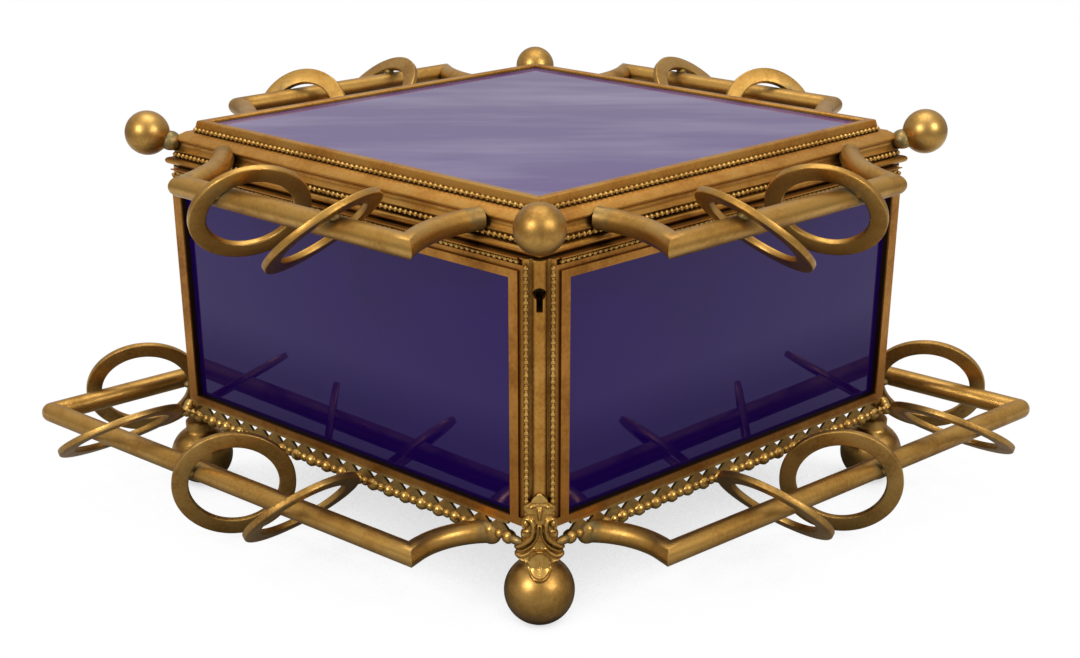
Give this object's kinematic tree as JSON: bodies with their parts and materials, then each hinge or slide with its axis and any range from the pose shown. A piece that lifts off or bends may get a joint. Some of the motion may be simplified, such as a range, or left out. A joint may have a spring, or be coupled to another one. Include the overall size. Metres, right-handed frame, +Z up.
{
  "type": "glass casket box",
  "caption": "Lozenge shaped glass casket in a gilt metal frame, with a hinged lid, ball feet and finials, beading, and rods hung with flat rings.",
  "frame": {"origin": "middle of the plan, at the plane the feet stand on", "axes": "+Z up, -Y towards the blunt corner with the keyhole, +X to the right seen from there, along the long diagonal"},
  "size_m": [0.3582, 0.2378, 0.138],
  "materials": {
    "gilt": "worn satin gilding",
    "bright_gilt": "worn gilding",
    "side_glass": "dark violet, glossy",
    "top_glass": "violet, glossy",
    "lock_brass": "satin",
    "lock_steel": "satin"
  },
  "bodies": {
    "casket": {"base_plate": "gilt", "post_front": "gilt", "post_back": "gilt", "post_left": "gilt", "post_right": "gilt", "frame_front_left": "gilt", "frame_front_right": "gilt", "frame_back_left": "gilt", "frame_back_right": "gilt", "glass_front_left": "side_glass", "glass_front_right": "side_glass", "glass_back_left": "side_glass", "glass_back_right": "side_glass", "glass_stops": "gilt", "side_beading": "bright_gilt", "bead_rail_front_left": "bright_gilt", "bead_rail_front_right": "bright_gilt", "bead_rail_back_left": "bright_gilt", "bead_rail_back_right": "bright_gilt", "foot_front": "gilt", "foot_back": "gilt", "foot_left": "gilt", "foot_right": "gilt", "foot_leaves": "bright_gilt", "low_gallery_front_left": "gilt", "low_gallery_front_right": "gilt", "low_gallery_back_left": "gilt", "low_gallery_back_right": "gilt", "low_rings_front_left": "gilt", "low_rings_front_right": "gilt", "low_rings_back_left": "gilt", "low_rings_back_right": "gilt", "tip_rings": "gilt", "hinge_body_leaf": "gilt", "hinge_pin": "bright_gilt", "lock_case": "lock_brass", "lock_cover": "lock_brass", "lock_screws": "lock_steel"},
    "lid": {"lid_moulding_front_left": "gilt", "lid_moulding_front_right": "gilt", "lid_moulding_back_left": "gilt", "lid_moulding_back_right": "gilt", "lid_beading": "bright_gilt", "lid_frame": "gilt", "lid_glass": "top_glass", "finial_front": "gilt", "finial_back": "gilt", "finial_left": "gilt", "finial_right": "gilt", "top_gallery_front_left": "gilt", "top_gallery_front_right": "gilt", "top_gallery_back_left": "gilt", "top_gallery_back_right": "gilt", "top_rings_front_left": "gilt", "top_rings_front_right": "gilt", "top_rings_back_left": "gilt", "top_rings_back_right": "gilt", "hinge_lid_leaf": "gilt", "lock_keeper": "lock_brass"},
    "bolt": {"lock_bolt": "lock_steel"}
  },
  "joints": [
    {"name": "lid_hinge", "type": "hinge", "parent": "casket", "child": "lid", "pos_m": [0, 0.10498, 0.1195], "axis": [-1, 0, 0], "range_deg": [0, 95]},
    {"name": "bolt_slide", "type": "slide", "parent": "casket", "child": "bolt", "axis": [1, 0, 0], "range_m": [0, 0.004]}
  ]
}
